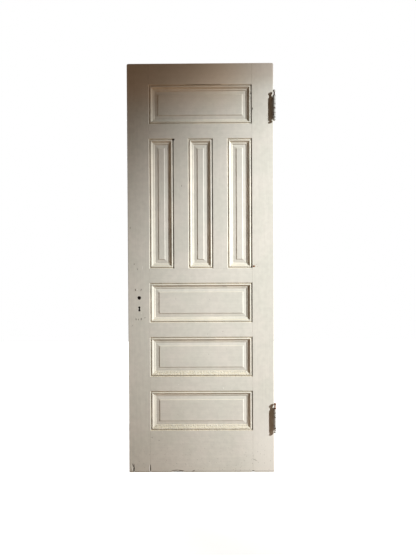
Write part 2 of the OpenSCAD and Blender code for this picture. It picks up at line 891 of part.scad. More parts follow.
// Dead bolt drawn in flush, with the talon notch over the keyhole in its tail
module dead_bolt() {
    end = nose_x + bolt_l;
    color(aged_steel)
        at_lock()
            difference() {
                union() {
                    block([nose_x, -bolt_t / 2, -bolt_drop - bolt_h / 2],
                        [end, bolt_t / 2, -bolt_drop + bolt_h / 2]);
                    block([end - riser_l, -bar_t / 2, tail_z], [end + tail_l, bar_t / 2, tail_z + tail_h]);
                }
                block([backset - talon_w / 2, -bolt_t, tail_z - overrun],
                    [backset + talon_w / 2, bolt_t, tail_z + talon_d]);
            }
}

module faceplate_screws() {
    color(aged_steel)
        at_lock()
            for (z = FACE_SCREWS)
                translate([0, 0, z])
                    rotate([0, 90, 0])
                        wood_screw(face_head_r - joint_gap, face_screw_r, face_screw_l);
}

module cap_screw() {
    color(aged_steel)
        at_lock()
            translate([post_x, lock_t / 2, post_z])
                rotate([90, 0, 0])
                    wood_screw(face_head_r - joint_gap, face_screw_r, lock_t - 2 * lock_wall);
}

// Puts a hinge piece, drawn round its pin's axis, at its place on the leaf's edge
module at_hinge(z) {
    translate([pin_x, pin_y, z])
        children();
}

// Plate and knuckles of one hinge leaf, drawn on the door's side of the pin. The door's leaf carries
// every second knuckle, and the jamb's leaf carries the ones between and both ends.
module hinge_leaf(first, hole_r) {
    plate_x = -leaf_gap / 2 - leaf_t;
    difference() {
        union() {
            block([plate_x, 0, -hinge_h / 2], [-leaf_gap / 2, barrel_out + leaf_reach, hinge_h / 2]);
            for (k = [first : 2 : knuckles - 1])
                knuckle(k, barrel_r, knuckle_pitch - knuckle_gap);
        }
        for (k = [1 - first : 2 : knuckles - 1])
            knuckle(k, barrel_r + knuckle_gap, knuckle_pitch);
        cylinder(r = pin_r + pin_play, h = hinge_h + 2 * overrun, center = true);
        for (p = LEAF_HOLES)
            translate([-leaf_gap / 2, barrel_out + p[0], p[1]])
                rotate([0, -90, 0])
                    screw_seat(sink_r, hole_r, leaf_t);
    }
}

module knuckle(k, r, length) {
    translate([0, 0, k * knuckle_pitch + (knuckle_pitch - hinge_h) / 2])
        cylinder(r = r, h = length, center = true);
}

// Countersunk screw hole, drawn down into a plate from its outer face
module screw_seat(head_r, r, plate_t) {
    cylinder(r = r, h = plate_t + overrun);
    cylinder(r1 = head_r, r2 = r, h = head_r - r);
    translate([0, 0, -overrun])
        cylinder(r = head_r, h = overrun);
}

module hinge_door_leaf(z) {
    color(aged_steel)
        at_hinge(z)
            hinge_leaf(1, screw_r + joint_gap);
}

module hinge_jamb_leaf(z) {
    color(aged_steel)
        at_hinge(z)
            mirror([1, 0, 0])
                hinge_leaf(0, leaf_hole_r);
}

// Loose pin with its ball tip, standing out of the barrel by its lift
module hinge_pin(z) {
    shaft_foot = spigot_l + knuckle_gap + pin_lift - hinge_h / 2;
    ball_z = hinge_h / 2 + knuckle_gap + pin_lift + neck_h + ball_r;
    color(aged_steel)
        at_hinge(z)
            union() {
                translate([0, 0, shaft_foot])
                    cylinder(r = pin_r, h = ball_z - shaft_foot);
                translate([0, 0, ball_z])
                    sphere(r = ball_r);
            }
}

// Ball tip under the barrel, held by a spigot in the lowest knuckle
module hinge_bottom_tip(z) {
    ball_z = -hinge_h / 2 - knuckle_gap - neck_h - ball_r;
    color(aged_steel)
        at_hinge(z)
            union() {
                translate([0, 0, ball_z])
                    cylinder(r = pin_r, h = spigot_l - hinge_h / 2 - ball_z);
                translate([0, 0, ball_z])
                    sphere(r = ball_r);
            }
}

// Wood screw turned about its own axis: countersunk head, shank and point, with a driving slot
module wood_screw(head_r, r, length) {
    difference() {
        rotate_extrude()
            polygon([
                [0, 0], [head_r, 0], [r, head_r - r], [r, length - point_share * r], [0, length],
            ]);
        translate([-head_r - overrun, -slot_w / 2, -overrun])
            cube([2 * (head_r + overrun), slot_w, slot_d + overrun]);
    }
}

module hinge_screws(z) {
    color(aged_steel)
        for (p = LEAF_HOLES)
            translate([half_w, -half_t + p[0], z + p[1]])
                rotate([0, -90, 0])
                    wood_screw(sink_r - joint_gap, screw_r, screw_l);
}

lock_stile();
hinge_stile();
top_rail();
grooved_rail(frieze_rail_z);  // frieze_rail
grooved_rail(lock_rail_z);  // lock_rail
grooved_rail(middle_rail_z);  // middle_rail
grooved_rail(lower_rail_z);  // lower_rail
bottom_rail();
muntin(-upright_pitch / 2);  // left_muntin
muntin(upright_pitch / 2);  // right_muntin
lock_case();
lock_cap();
lock_faceplate();
latch_bolt();
lock_hub();
dead_bolt();
faceplate_screws();
cap_screw();
for (o = OPENINGS) {
    panel(o);
    front_moulding(o);
    moulding(o, 180);
}
for (h = [["upper", upper_hinge_z], ["lower", lower_hinge_z]]) {
    hinge_door_leaf(h[1]);
    hinge_jamb_leaf(h[1]);
    hinge_pin(h[1]);
    hinge_bottom_tip(h[1]);
    hinge_screws(h[1]);
}
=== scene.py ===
import math
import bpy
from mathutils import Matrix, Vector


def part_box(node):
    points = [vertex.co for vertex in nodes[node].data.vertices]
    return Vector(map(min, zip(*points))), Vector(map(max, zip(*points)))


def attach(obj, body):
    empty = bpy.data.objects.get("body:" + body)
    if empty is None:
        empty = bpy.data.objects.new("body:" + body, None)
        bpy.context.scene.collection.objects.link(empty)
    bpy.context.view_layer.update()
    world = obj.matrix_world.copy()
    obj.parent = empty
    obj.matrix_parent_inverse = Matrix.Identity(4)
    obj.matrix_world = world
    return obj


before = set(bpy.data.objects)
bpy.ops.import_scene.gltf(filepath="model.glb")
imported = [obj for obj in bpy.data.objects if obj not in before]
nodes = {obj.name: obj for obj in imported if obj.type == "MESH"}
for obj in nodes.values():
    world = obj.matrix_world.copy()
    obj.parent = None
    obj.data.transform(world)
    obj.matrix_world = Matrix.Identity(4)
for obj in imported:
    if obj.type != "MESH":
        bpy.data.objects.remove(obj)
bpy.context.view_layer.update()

from types import SimpleNamespace

import bmesh
import bpy
from mathutils import Matrix, Vector, noise

scene = bpy.context.scene
scene.view_settings.view_transform = "Standard"


# Stiles, rails and muntins: the softwood frame of the leaf, mortised, tenoned and glued. It was brushed with
# many coats of cream oil paint, along the grain of each piece, and they have yellowed and gathered dirt.

MM = 0.001
stile_low, stile_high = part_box("lock_stile")
FRONT_Y = stile_low.y
LEAF_TOP = stile_high.z
LEAF_SIDE = -stile_low.x
STILE_EDGE = -stile_high.x
RAILS = ["top_rail", "frieze_rail", "lock_rail", "middle_rail", "lower_rail", "bottom_rail"]

PAINT = "#DDD6C9"
GREYER_PAINT = "#D6D2C4"
# Painted light and shade: a paler tone where the light is strong at the foot on the right, and brown and warm
# tones for the shade at the top.
PAINTED_LIGHT_PALE = "#EFE8DC"
PAINTED_SHADE_BROWN = "#93683F"
PAINTED_SHADE_WARM = "#DDBF9C"
GRIME = "#7D674C"
DUSTY = "#B8A98A"
SPLASHED = "#8F826F"
# Near-white for the lit sides of raised ridges and lumps: a painted highlight.
PAINTED_HIGHLIGHT = "#F8F3E8"
DULL_SCAR = "#665645"
DARK_SCAR = "#46311F"
RUST_STAIN = "#83552C"
# Bare wood made nearly black: its own dark colour deepened as painted shade, in holes, joints, cracks and
# quirks.
SHADED_BARE_WOOD = "#261A12"

# A brush leaves marks under 1 mm wide, and runs and specks of 2 to 3 mm. Both are too fine to show, so they
# are drawn 6 mm and 9 mm wide. The mottle, the clouds and the spacing of the splashes have their real sizes.
STROKE_W = 6 * MM
STROKE_L = 220 * MM
LUMP_W = 9 * MM
MOTTLE_W = 25 * MM
CLOUD_W = 160 * MM
SPLASH_SPACING = 14 * MM
STROKE_ALONG_X = 0
STROKE_ALONG_Z = 2
LUMPY_BELOW = 600 * MM
LUMPIEST_BELOW = 20 * MM
SPLASHED_BELOW = 230 * MM
WETTEST_BELOW = 30 * MM
GRIMY_BELOW = 9 * MM
GRIMIEST_BELOW = 3 * MM
FRONT_HALF_Y = -4 * MM
HOLLOW_W = 5 * MM
MARK_DEPTH = 16 * MM

# Painted light and shade on the front: darker low on the left, paler at the foot on the right, and browner
# and warmer at the top, where less light falls. For each: where it begins and is full, across the leaf and up
# it in mm, its most and colour.
PAINTED_LIGHT_ZONES = [
    ((120, -220), (1050, 100), 0.15, GRIME),
    ((150, 340), (450, 100), 0.7, PAINTED_LIGHT_PALE),
    ((-300, 0), (1980, 2090), 0.26, PAINTED_SHADE_BROWN),
    ((360, 60), (1830, 2040), 0.5, PAINTED_SHADE_WARM),
]


def linear(colour):
    """Linear RGBA of an sRGB hex colour."""
    shares = [int(colour[i:i + 2], 16) / 255 for i in (1, 3, 5)]
    return (*[s / 12.92 if s <= 0.04045 else ((s + 0.055) / 1.055) ** 2.4 for s in shares], 1)


def add(tree, kind, inputs=(), output=0, **settings):
    """Adds a shader node with its settings, and gives one of its outputs. Its inputs come by name or in
    order, and each takes a value or a link from another node's output."""
    node = tree.nodes.new("ShaderNode" + kind)
    for name, value in settings.items():
        setattr(node, name, value)
    named = inputs if isinstance(inputs, dict) else dict(enumerate(inputs))
    for socket, value in named.items():
        if isinstance(value, bpy.types.NodeSocket):
            tree.links.new(value, node.inputs[socket])
        else:
            node.inputs[socket].default_value = value
    return node.outputs[output] if len(node.outputs) else None


def new_material(name):
    """New material with an empty node tree, that tree, and its Object coordinates."""
    material = bpy.data.materials.new(name)
    material.use_nodes = True
    tree = material.node_tree
    tree.nodes.clear()
    return material, tree, add(tree, "TexCoord", output="Object")


def brushed_oil_paint(name, stroke, base):
    """Clean coats of oil paint gone cream: matt, faintly mottled and cloudy, and streaked along the brush's
    stroke. Gives the coat's material, its colour and relief so far, and the values that its marks read."""
    material, tree, place = new_material(name)
    x, y, z = add(tree, "SeparateXYZ", [place]).node.outputs
    streak_scale = [1 / STROKE_W] * 3
    streak_scale[stroke] = 1 / STROKE_L
    along = add(tree, "Mapping", {"Vector": place, "Scale": streak_scale})
    streaks = add(tree, "TexNoise", {"Vector": along, "Scale": 1, "Detail": 3})
    mottle = add(tree, "TexNoise", {"Vector": place, "Scale": 1 / MOTTLE_W, "Detail": 4})
    clouds = add(tree, "TexNoise", {"Vector": place, "Scale": 1 / CLOUD_W, "Detail": 2})
    lumps = add(tree, "TexNoise", {"Vector": place, "Scale": 1 / LUMP_W, "Detail": 2})

    greyer = add(tree, "MapRange", [clouds, 0.35, 0.65, 0.0, 0.8], interpolation_type="SMOOTHSTEP")
    colour = add(tree, "Mix", {0: greyer, 6: linear(base), 7: linear(GREYER_PAINT)}, 2, data_type="RGBA")
    mottled = add(tree, "MapRange", [mottle, 0.3, 0.7, 0.96, 1.03], interpolation_type="SMOOTHSTEP")
    streaked = add(tree, "MapRange", [streaks, 0.3, 0.7, 0.98, 1.02], interpolation_type="SMOOTHSTEP")
    tone = add(tree, "Math", [mottled, streaked], operation="MULTIPLY")
    colour = add(tree, "Mix", {0: 1.0, 6: colour, 7: tone}, 2, data_type="RGBA", blend_type="MULTIPLY")

    lump_h = add(tree, "MapRange", [z, LUMPY_BELOW, LUMPIEST_BELOW, 0.12, 0.35],
                 interpolation_type="SMOOTHSTEP")
    streak_h = add(tree, "Math", [streaks, 0.1], operation="MULTIPLY")
    relief = add(tree, "Math", [lumps, lump_h, streak_h], operation="MULTIPLY_ADD")
    outward = add(tree, "Math", [x], operation="ABSOLUTE")
    roughness = add(tree, "MapRange", [mottle, 0.3, 0.7, 0.6, 0.45], interpolation_type="SMOOTHSTEP")
    return SimpleNamespace(material=material, tree=tree, place=place, x=x, y=y, z=z, outward=outward,
                           mottle=mottle, colour=colour, relief=relief, roughness=roughness)


def age_and_painted_light(coat):
    """Years on a coat, and painted light and shade: paler, darker and browner ends of the front as painted
    light and shade, splashes and wet dirt at the foot, dust on what looks up, and brown dirt in the hollows,
    which also paints shade into them."""
    tree = coat.tree
    front = add(tree, "MapRange", [coat.y, 0.0, FRONT_HALF_Y], interpolation_type="SMOOTHSTEP")
    # Painted light and shade: the front is tinted paler, darker or browner where the lamps' light is stronger
    # or weaker.
    for (from_x, to_x), (from_z, to_z), most, tint in PAINTED_LIGHT_ZONES:
        across = add(tree, "MapRange", [coat.x, from_x * MM, to_x * MM], interpolation_type="SMOOTHSTEP")
        upward = add(tree, "MapRange", [coat.z, from_z * MM, to_z * MM, 0.0, most],
                     interpolation_type="SMOOTHSTEP")
        painted_light_share = add(tree, "Math", [across, upward], operation="MULTIPLY")
        painted_light_share = add(tree, "Math", [painted_light_share, front], operation="MULTIPLY")
        coat.colour = add(tree, "Mix", {0: painted_light_share, 6: coat.colour, 7: linear(tint)}, 2, data_type="RGBA")

    from_drop = add(tree, "TexVoronoi", {"Vector": coat.place, "Scale": 1 / SPLASH_SPACING}, "Distance")
    drops = add(tree, "MapRange", [from_drop, 0.19, 0.09], interpolation_type="SMOOTHSTEP")
    low_down = add(tree, "MapRange", [coat.z, SPLASHED_BELOW, WETTEST_BELOW, 0.0, 0.5],
                   interpolation_type="SMOOTHSTEP")
    splashes = add(tree, "Math", [drops, low_down], operation="MULTIPLY")
    coat.colour = add(tree, "Mix", {0: splashes, 6: coat.colour, 7: linear(SPLASHED)}, 2, data_type="RGBA")
    foot = add(tree, "MapRange", [coat.z, GRIMY_BELOW, GRIMIEST_BELOW, 0.0, 0.55],
               interpolation_type="SMOOTHSTEP")
    coat.colour = add(tree, "Mix", {0: foot, 6: coat.colour, 7: linear(GRIME)}, 2, data_type="RGBA")

    facing = add(tree, "NewGeometry", output="Normal")
    looks_up = add(tree, "SeparateXYZ", [facing], "Z")
    dust = add(tree, "MapRange", [looks_up, 0.2, 0.8, 0.0, 0.45], interpolation_type="SMOOTHSTEP")
    coat.colour = add(tree, "Mix", {0: dust, 6: coat.colour, 7: linear(DUSTY)}, 2, data_type="RGBA")

    # Brown dirt in the hollows, stronger where they are more enclosed: dirt, and painted shade in them too.
    open_air = add(tree, "AmbientOcclusion", {"Distance": HOLLOW_W}, "AO", samples=8)
    hollow_dirt_and_shade = add(tree, "MapRange", [open_air, 0.55, 0.15], interpolation_type="SMOOTHSTEP")
    uneven = add(tree, "MapRange", [coat.mottle, 0.3, 0.65, 0.2, 0.5], interpolation_type="SMOOTHSTEP")
    dirt = add(tree, "Math", [hollow_dirt_and_shade, uneven], operation="MULTIPLY")
    coat.colour = add(tree, "Mix", {0: dirt, 6: coat.colour, 7: linear(GRIME)}, 2, data_type="RGBA")


def open_joints(coat):
    """Broken lines of dirt on the rails' ends, where their shoulders meet the stiles."""
    tree = coat.tree
    end = add(tree, "MapRange", [coat.outward, STILE_EDGE - 4 * MM, STILE_EDGE - 0.5 * MM, 0.0, 0.25],
              interpolation_type="SMOOTHSTEP")
    broken = add(tree, "MapRange", [coat.mottle, 0.35, 0.6], interpolation_type="SMOOTHSTEP")
    joint = add(tree, "Math", [end, broken], operation="MULTIPLY")
    coat.colour = add(tree, "Mix", {0: joint, 6: coat.colour, 7: linear(GRIME)}, 2, data_type="RGBA")


def mark(coat, marks):
    """Dents, scars, stains and painted highlights: ovals on the front that tint the coat, and raise it or
    sink it.
    """
    tree = coat.tree
    for x, z, half_l, half_w, turn, tint, strength, rise in marks:
        oval = {"Vector": coat.place, "Location": (x * MM, FRONT_Y, z * MM)}
        oval["Rotation"] = (0, -math.radians(turn), 0)
        oval["Scale"] = (half_l * MM, MARK_DEPTH, half_w * MM)
        from_middle = add(tree, "Mapping", oval, vector_type="TEXTURE")
        reach = add(tree, "VectorMath", [from_middle], "Value", operation="LENGTH")
        inside = add(tree, "MapRange", [reach, 1.0, 0.5], interpolation_type="SMOOTHSTEP")
        stain = add(tree, "Math", [inside, strength], operation="MULTIPLY")
        coat.colour = add(tree, "Mix", {0: stain, 6: coat.colour, 7: linear(tint)}, 2, data_type="RGBA")
        coat.relief = add(tree, "Math", [inside, rise, coat.relief], operation="MULTIPLY_ADD")


def shaded_bare_inside(coat):
    """Bare wood in the holes, the mortise and the joints, from 1 mm below the leaf's painted faces, made
    nearly black as painted shade.
    """
    tree = coat.tree
    depth = add(tree, "Math", [coat.y], operation="ABSOLUTE")
    inside = 1.0
    for place, skin, bare in ((depth, -FRONT_Y - 1.05 * MM, -FRONT_Y - 1.55 * MM),
                              (coat.outward, LEAF_SIDE - 1 * MM, LEAF_SIDE - 2 * MM),
                              (coat.z, 0.5 * MM, 1.5 * MM),
                              (coat.z, LEAF_TOP - 0.5 * MM, LEAF_TOP - 1.5 * MM)):
        below_skin = add(tree, "MapRange", [place, skin, bare], interpolation_type="SMOOTHSTEP")
        inside = add(tree, "Math", [below_skin, inside], operation="MULTIPLY")
    coat.colour = add(tree, "Mix", {0: inside, 6: coat.colour, 7: linear(SHADED_BARE_WOOD)}, 2, data_type="RGBA")


def finished(coat):
    """Material of a coat, with its relief in millimetres and the low gloss of old oil paint."""
    shader = add(coat.tree, "BsdfPrincipled", {
        "Base Color": coat.colour,
        "Roughness": coat.roughness,
        "Specular IOR Level": 0.2,
        "Normal": add(coat.tree, "Bump", {"Height": coat.relief, "Strength": 1.0, "Distance": 1 * MM}),
    })
    add(coat.tree, "OutputMaterial", {"Surface": shader})
    return coat.material


def finish_nodes(names, material):
    """Gives a material to CAD nodes."""
    for name in names:
        for held in nodes[name].material_slots:
            held.material = material


# Marks: x and z in mm, half length and half width in mm, turn in degrees, colour, strength of the colour,
# and rise in mm.
# The pale marks paint highlights on the lit sides of raised ridges and lumps, and some dull marks beside them
# paint their shaded sides; the other dull and dark marks are dirt in dents, chips and cracks.
LOCK_STILE_MARKS = [
    (-341.5, 959, 7, 3.2, 80, DULL_SCAR, 1.0, 0.8),
    (-334.9, 961.5, 3.4, 2.6, 0, PAINTED_HIGHLIGHT, 0.9, 0.3),
    (-312.4, 958.8, 7.5, 2.6, 70, DULL_SCAR, 0.7, 0.5),
    (-339.6, 806, 8, 2.8, 100, DULL_SCAR, 0.8, 0.6),
    (-327.6, 804, 6, 2.4, 80, DULL_SCAR, 0.7, 0.5),
    (-312.9, 806, 8, 2.8, 90, DULL_SCAR, 0.8, 0.6),
    (-293.5, 813.7, 6, 2.6, 60, DULL_SCAR, 0.6, 0.5),
    (-360.8, 771.5, 8, 2.4, 60, DULL_SCAR, 0.3, -0.3),
    (-330.9, 856, 8.5, 1.8, 92, PAINTED_HIGHLIGHT, 0.7, 0.3),
    (-313.2, 835.8, 5, 2, 110, PAINTED_HIGHLIGHT, 0.7, 0.4),
    (-335.2, 913.9, 4, 2, 120, PAINTED_HIGHLIGHT, 0.6, 0.3),
    (-368.7, 1282, 5, 3.4, 60, DULL_SCAR, 0.5, -0.8),
    (-348.6, 1093, 5, 3.4, 30, DULL_SCAR, 0.5, -0.8),
    (-332.1, 1066.6, 5, 3, 70, DULL_SCAR, 0.5, -0.8),
    (-305.1, 1073.4, 13.5, 1.9, 84, PAINTED_HIGHLIGHT, 0.6, 0.3),
    (-367.5, 24, 23, 3.4, 97, PAINTED_HIGHLIGHT, 0.8, 1.3),
    (-361.5, 36, 14, 2.6, 101, DARK_SCAR, 1.0, -1.0),
    (-357.5, 12, 15, 3.6, 95, DARK_SCAR, 1.0, -1.0),
    (-275.5, 21, 24, 3.2, 90, PAINTED_HIGHLIGHT, 1.0, 1.5),
    (-270.5, 21, 24, 2.2, 90, DARK_SCAR, 1.0, -0.8),
]
SCRATCH = (278.1, 63.5, 20.4, 1.8, -26, DULL_SCAR, 0.5, -0.5)
UPRIGHT_MARKS = [
    SCRATCH,
    (277, 1080, 9, 6.5, 0, RUST_STAIN, 0.9, 0),
    (289, 1089, 2.8, 2.2, 0, RUST_STAIN, 0.5, 0),
    (296, 1078.6, 2.8, 2.2, 0, RUST_STAIN, 0.45, 0),
    (-98.5, 1499.5, 6, 3, 80, DULL_SCAR, 0.5, -0.7),
    (272, 1898, 8, 2.6, 90, SHADED_BARE_WOOD, 0.9, -0.8),
    (-137, 1741, 6, 4.5, 100, SHADED_BARE_WOOD, 1.0, -1.0),
]
RAIL_MARKS = [
    SCRATCH,
    (113.7, 442, 7, 2, 97, PAINTED_HIGHLIGHT, 0.6, 0.7),
    (32, 725, 4, 2.6, 20, DULL_SCAR, 0.25, -0.6),
    (112, 738, 5, 2.4, 60, DULL_SCAR, 0.25, -0.6),
    (-120, 460, 5, 2.4, -30, PAINTED_HIGHLIGHT, 0.4, 0.4),
    (-205.6, 212, 4, 2.4, 70, PAINTED_HIGHLIGHT, 0.6, 0.6),
    (-260.9, 183, 4, 2.6, 20, DULL_SCAR, 0.5, -0.6),
    (-224.3, 167, 4, 2.6, 130, DULL_SCAR, 0.5, -0.6),
    (-269, 21, 24, 2.4, 90, DARK_SCAR, 1.0, -0.8),
    (-141, 10, 24, 2.6, 5, DARK_SCAR, 0.8, -0.6),
    (-108, 8, 22, 3, -10, DARK_SCAR, 0.9, -0.6),
    (-45, 6, 12, 3, 25, DARK_SCAR, 0.8, -0.6),
]
for name, pieces, stroke, marks in (
        ("lock_stile", ["lock_stile"], STROKE_ALONG_Z, LOCK_STILE_MARKS),
        ("upright", ["hinge_stile", "left_muntin", "right_muntin"], STROKE_ALONG_Z, UPRIGHT_MARKS),
        ("level", RAILS, STROKE_ALONG_X, RAIL_MARKS)):
    coat = brushed_oil_paint("old_oil_paint_" + name, stroke, PAINT)
    age_and_painted_light(coat)
    if pieces == RAILS:
        open_joints(coat)
    mark(coat, marks)
    shaded_bare_inside(coat)
    finish_nodes(pieces, finished(coat))


# Raised panels: seven softwood boards, fielded on both faces, standing loose in the grooves of the frame.
# They were brushed with the same oil paint, the tall ones up and down and the lying ones from side to side.

TALL = ["left_upright", "middle_upright", "right_upright"]
LYING = ["top", "upper_lying", "middle_lying", "lower_lying"]
PANEL_DENTS = [
    (-208, 258, 7, 2, -45, DULL_SCAR, 0.4, -0.5),
    (-134, 909, 5, 3, 60, DULL_SCAR, 0.25, -0.7),
    (43, 906, 6, 2.4, -40, DULL_SCAR, 0.2, -0.7),
    (-62, 960, 4, 2.6, 20, DULL_SCAR, 0.25, -0.6),
    (-104, 391, 4, 2.6, 20, DULL_SCAR, 0.25, -0.6),
    (-126, 300, 6, 2.4, -50, DULL_SCAR, 0.3, -0.7),
    (74, 328, 4, 2.6, 30, DULL_SCAR, 0.25, -0.6),
    (131, 645, 6, 2.4, 20, DULL_SCAR, 0.2, -0.6),
    (37, 617, 5, 2.4, -30, DULL_SCAR, 0.2, -0.6),
]
for name, panels, stroke, dents in (("tall", TALL, STROKE_ALONG_Z, []),
                                    ("lying", LYING, STROKE_ALONG_X, PANEL_DENTS)):
    coat = brushed_oil_paint("old_oil_paint_" + name + "_panel", stroke, PAINT)
    age_and_painted_light(coat)
    mark(coat, dents)
    finish_nodes([panel + "_panel" for panel in panels], finished(coat))


# Planted mouldings: four mitred softwood sticks round each panel, on the front and on the back, held with
# brads under the paint. The quirk on the right of each ring is painted dark as shade, and on two of the lower
# rings the bottom stick's old coats are rough and yellow.

MOULDING_PAINT = "#EAE2D1"
OLD_COAT = "#D9CBAE"
QUIRK_INSET = 2.8 * MM
QUIRK_DARK = 1.2 * MM
QUIRK_FADED = 3.2 * MM
QUIRK_END = 4 * MM
STICK_H = 50 * MM
# The old coats' flakes are 2 to 3 mm wide, too fine to show, so they are drawn 7 mm wide.
FLAKE_W = 7 * MM
MOULDING_MARKS = [
    (264, 1978, 6, 3, 10, SHADED_BARE_WOOD, 1.0, -0.8),
    (-141, 1738, 9, 6, 100, SHADED_BARE_WOOD, 1.0, -1.0),
]


def painted_quirk_shade(coat, rings):
    """Painted shade: a dark line down the right stick of each ring, in the quirk that the stick's lip shades.
    """
    tree = coat.tree
    for ring in rings:
        low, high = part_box(ring + "_front_moulding")
        aside = add(tree, "Math", [coat.x, high.x - QUIRK_INSET], operation="SUBTRACT")
        off = add(tree, "Math", [aside], operation="ABSOLUTE")
        line = add(tree, "MapRange", [off, QUIRK_FADED, QUIRK_DARK, 0.0, 0.75],
                   interpolation_type="SMOOTHSTEP")
        above = add(tree, "MapRange", [coat.z, low.z, low.z + QUIRK_END], interpolation_type="SMOOTHSTEP")
        below = add(tree, "MapRange", [coat.z, high.z, high.z - QUIRK_END], interpolation_type="SMOOTHSTEP")
        within = add(tree, "Math", [above, below], operation="MULTIPLY")
        quirk = add(tree, "Math", [within, line], operation="MULTIPLY")
        coat.colour = add(tree, "Mix", {0: quirk, 6: coat.colour, 7: linear(SHADED_BARE_WOOD)}, 2, data_type="RGBA")


def rough_bottom_stick(coat, ring):
    """Flaked yellow coats on a ring's bottom stick, up to its mitres."""
    tree = coat.tree
    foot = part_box(ring + "_front_moulding")[0].z
    rise = add(tree, "Math", [coat.z, foot], operation="SUBTRACT")
    to_mitre = add(tree, "Math", [rise, coat.outward], operation="ADD")
    between = add(tree, "MapRange", [to_mitre, STILE_EDGE + 1 * MM, STILE_EDGE - 1 * MM],
                  interpolation_type="SMOOTHSTEP")
    low = add(tree, "MapRange", [rise, STICK_H + 10 * MM, STICK_H], interpolation_type="SMOOTHSTEP")
    stick = add(tree, "Math", [between, low], operation="MULTIPLY")
    flakes = add(tree, "TexNoise", {"Vector": coat.place, "Scale": 1 / FLAKE_W, "Detail": 3})
    lifted = add(tree, "MapRange", [flakes, 0.4, 0.62], interpolation_type="SMOOTHSTEP")
    flaked = add(tree, "Math", [stick, lifted], operation="MULTIPLY")
    yellow = add(tree, "Math", [flaked, 0.65], operation="MULTIPLY")
    coat.colour = add(tree, "Mix", {0: yellow, 6: coat.colour, 7: linear(OLD_COAT)}, 2, data_type="RGBA")
    coat.relief = add(tree, "Math", [flaked, -1.2, coat.relief], operation="MULTIPLY_ADD")


coat = brushed_oil_paint("old_oil_paint_moulding", STROKE_ALONG_Z, MOULDING_PAINT)
age_and_painted_light(coat)
mark(coat, MOULDING_MARKS)
painted_quirk_shade(coat, TALL + LYING)
moulding_paint = finished(coat)
for ring in TALL + LYING:
    finish_nodes([ring + "_front_moulding", ring + "_back_moulding"], moulding_paint)
for ring in ("middle_lying", "lower_lying"):
    coat = brushed_oil_paint("rough_oil_paint_" + ring, STROKE_ALONG_Z, MOULDING_PAINT)
    age_and_painted_light(coat)
    painted_quirk_shade(coat, [ring])
    rough_bottom_stick(coat, ring)
    finish_nodes([ring + "_front_moulding"], finished(coat))


# Nail: a hand-cut iron nail, driven into the hinge stile and never set, whose square head has rusted
# through the paint.

NAIL_IRON = "#5B3518"
NAIL_RUST = "#7F4E25"
NAIL_PLACE = Vector((277 * MM, FRONT_Y, 1080 * MM))
NAIL_HEAD = Vector((7.5, 2.4, 6.5)) * MM
NAIL_SHANK = Vector((3, 11, 3)) * MM
NAIL_TURN = Matrix.Rotation(math.radians(42), 4, "Y")
NAIL_EDGE = 0.5 * MM
# Pits in rust are about half a millimetre wide, and drawn 1.6 mm wide, so that they show close by.
RUST_PATCH_W = 9 * MM
RUST_PIT_W = 1.6 * MM
RUST_PIT_D = 0.3 * MM


def rusted_iron(name, dark, rust, rust_share):
    """Old iron with a dull skin: dark and slightly metallic, with browner patches of dry, pitted rust."""
    material, tree, place = new_material(name)
    patches = add(tree, "TexNoise", {"Vector": place, "Scale": 1 / RUST_PATCH_W, "Detail": 5})
    pits = add(tree, "TexNoise", {"Vector": place, "Scale": 1 / RUST_PIT_W, "Detail": 3})
    rusty = add(tree, "MapRange", [patches, 0.62 - rust_share / 2, 0.72 - rust_share / 2],
                interpolation_type="SMOOTHSTEP")
    colour = add(tree, "Mix", {0: rusty, 6: linear(dark), 7: linear(rust)}, 2, data_type="RGBA")
    tone = add(tree, "MapRange", [pits, 0.3, 0.7, 0.75, 1.15], interpolation_type="SMOOTHSTEP")
    colour = add(tree, "Mix", {0: 1.0, 6: colour, 7: tone}, 2, data_type="RGBA", blend_type="MULTIPLY")
    shader = add(tree, "BsdfPrincipled", {
        "Base Color": colour,
        "Roughness": add(tree, "MapRange", [rusty, 0, 1, 0.45, 0.85], interpolation_type="SMOOTHSTEP"),
        "Metallic": add(tree, "MapRange", [rusty, 0, 1, 0.6, 0.0], interpolation_type="SMOOTHSTEP"),
        "Normal": add(tree, "Bump", {"Height": pits, "Strength": 0.4, "Distance": RUST_PIT_D}),
    })
    add(tree, "OutputMaterial", {"Surface": shader})
    return material


def link_piece(name, shape, material):
    """New object from a bmesh, at the origin, with one material."""
    bmesh.ops.recalc_face_normals(shape, faces=shape.faces)
    mesh = bpy.data.meshes.new(name)
    shape.to_mesh(mesh)
    shape.free()
    mesh.materials.append(material)
    piece = bpy.data.objects.new(name, mesh)
    scene.collection.objects.link(piece)
    return piece


nail_shape = bmesh.new()
for size, depth in ((NAIL_HEAD, 0), (NAIL_SHANK, NAIL_SHANK.y / 2)):
    middle = Matrix.Translation(NAIL_PLACE + Vector((0, depth, 0)))
    bmesh.ops.create_cube(nail_shape, size=1, matrix=middle @ NAIL_TURN @ Matrix.Diagonal((*size, 1)))
bmesh.ops.bevel(nail_shape, geom=nail_shape.edges[:], offset=NAIL_EDGE, affect="EDGES", segments=2,
                profile=0.5, material=-1)
nail = link_piece("nail", nail_shape, rusted_iron("rusted_nail_iron", NAIL_IRON, NAIL_RUST, 0.5))
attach(nail, "door")


# Mortise lock: a cast-iron case and cap in the lock stile, with its face plate, hub and two bolts, which
# are wrought and cast iron gone dark with rust and old grease. Rusted steel screws hold it.

LOCK_IRON = "#2E2723"
LOCK_RUST = "#5A3522"
SCREW_STEEL = "#4A3E36"
SCREW_RUST = "#6B3D22"
lock_iron = rusted_iron("rusted_cast_iron", LOCK_IRON, LOCK_RUST, 0.3)
finish_nodes(["lock_case", "lock_cap", "lock_faceplate", "latch_bolt", "lock_hub", "dead_bolt"], lock_iron)
screw_steel = rusted_iron("rusted_screw_steel", SCREW_STEEL, SCREW_RUST, 0.35)
finish_nodes(["faceplate_screws", "cap_screw"], screw_steel)


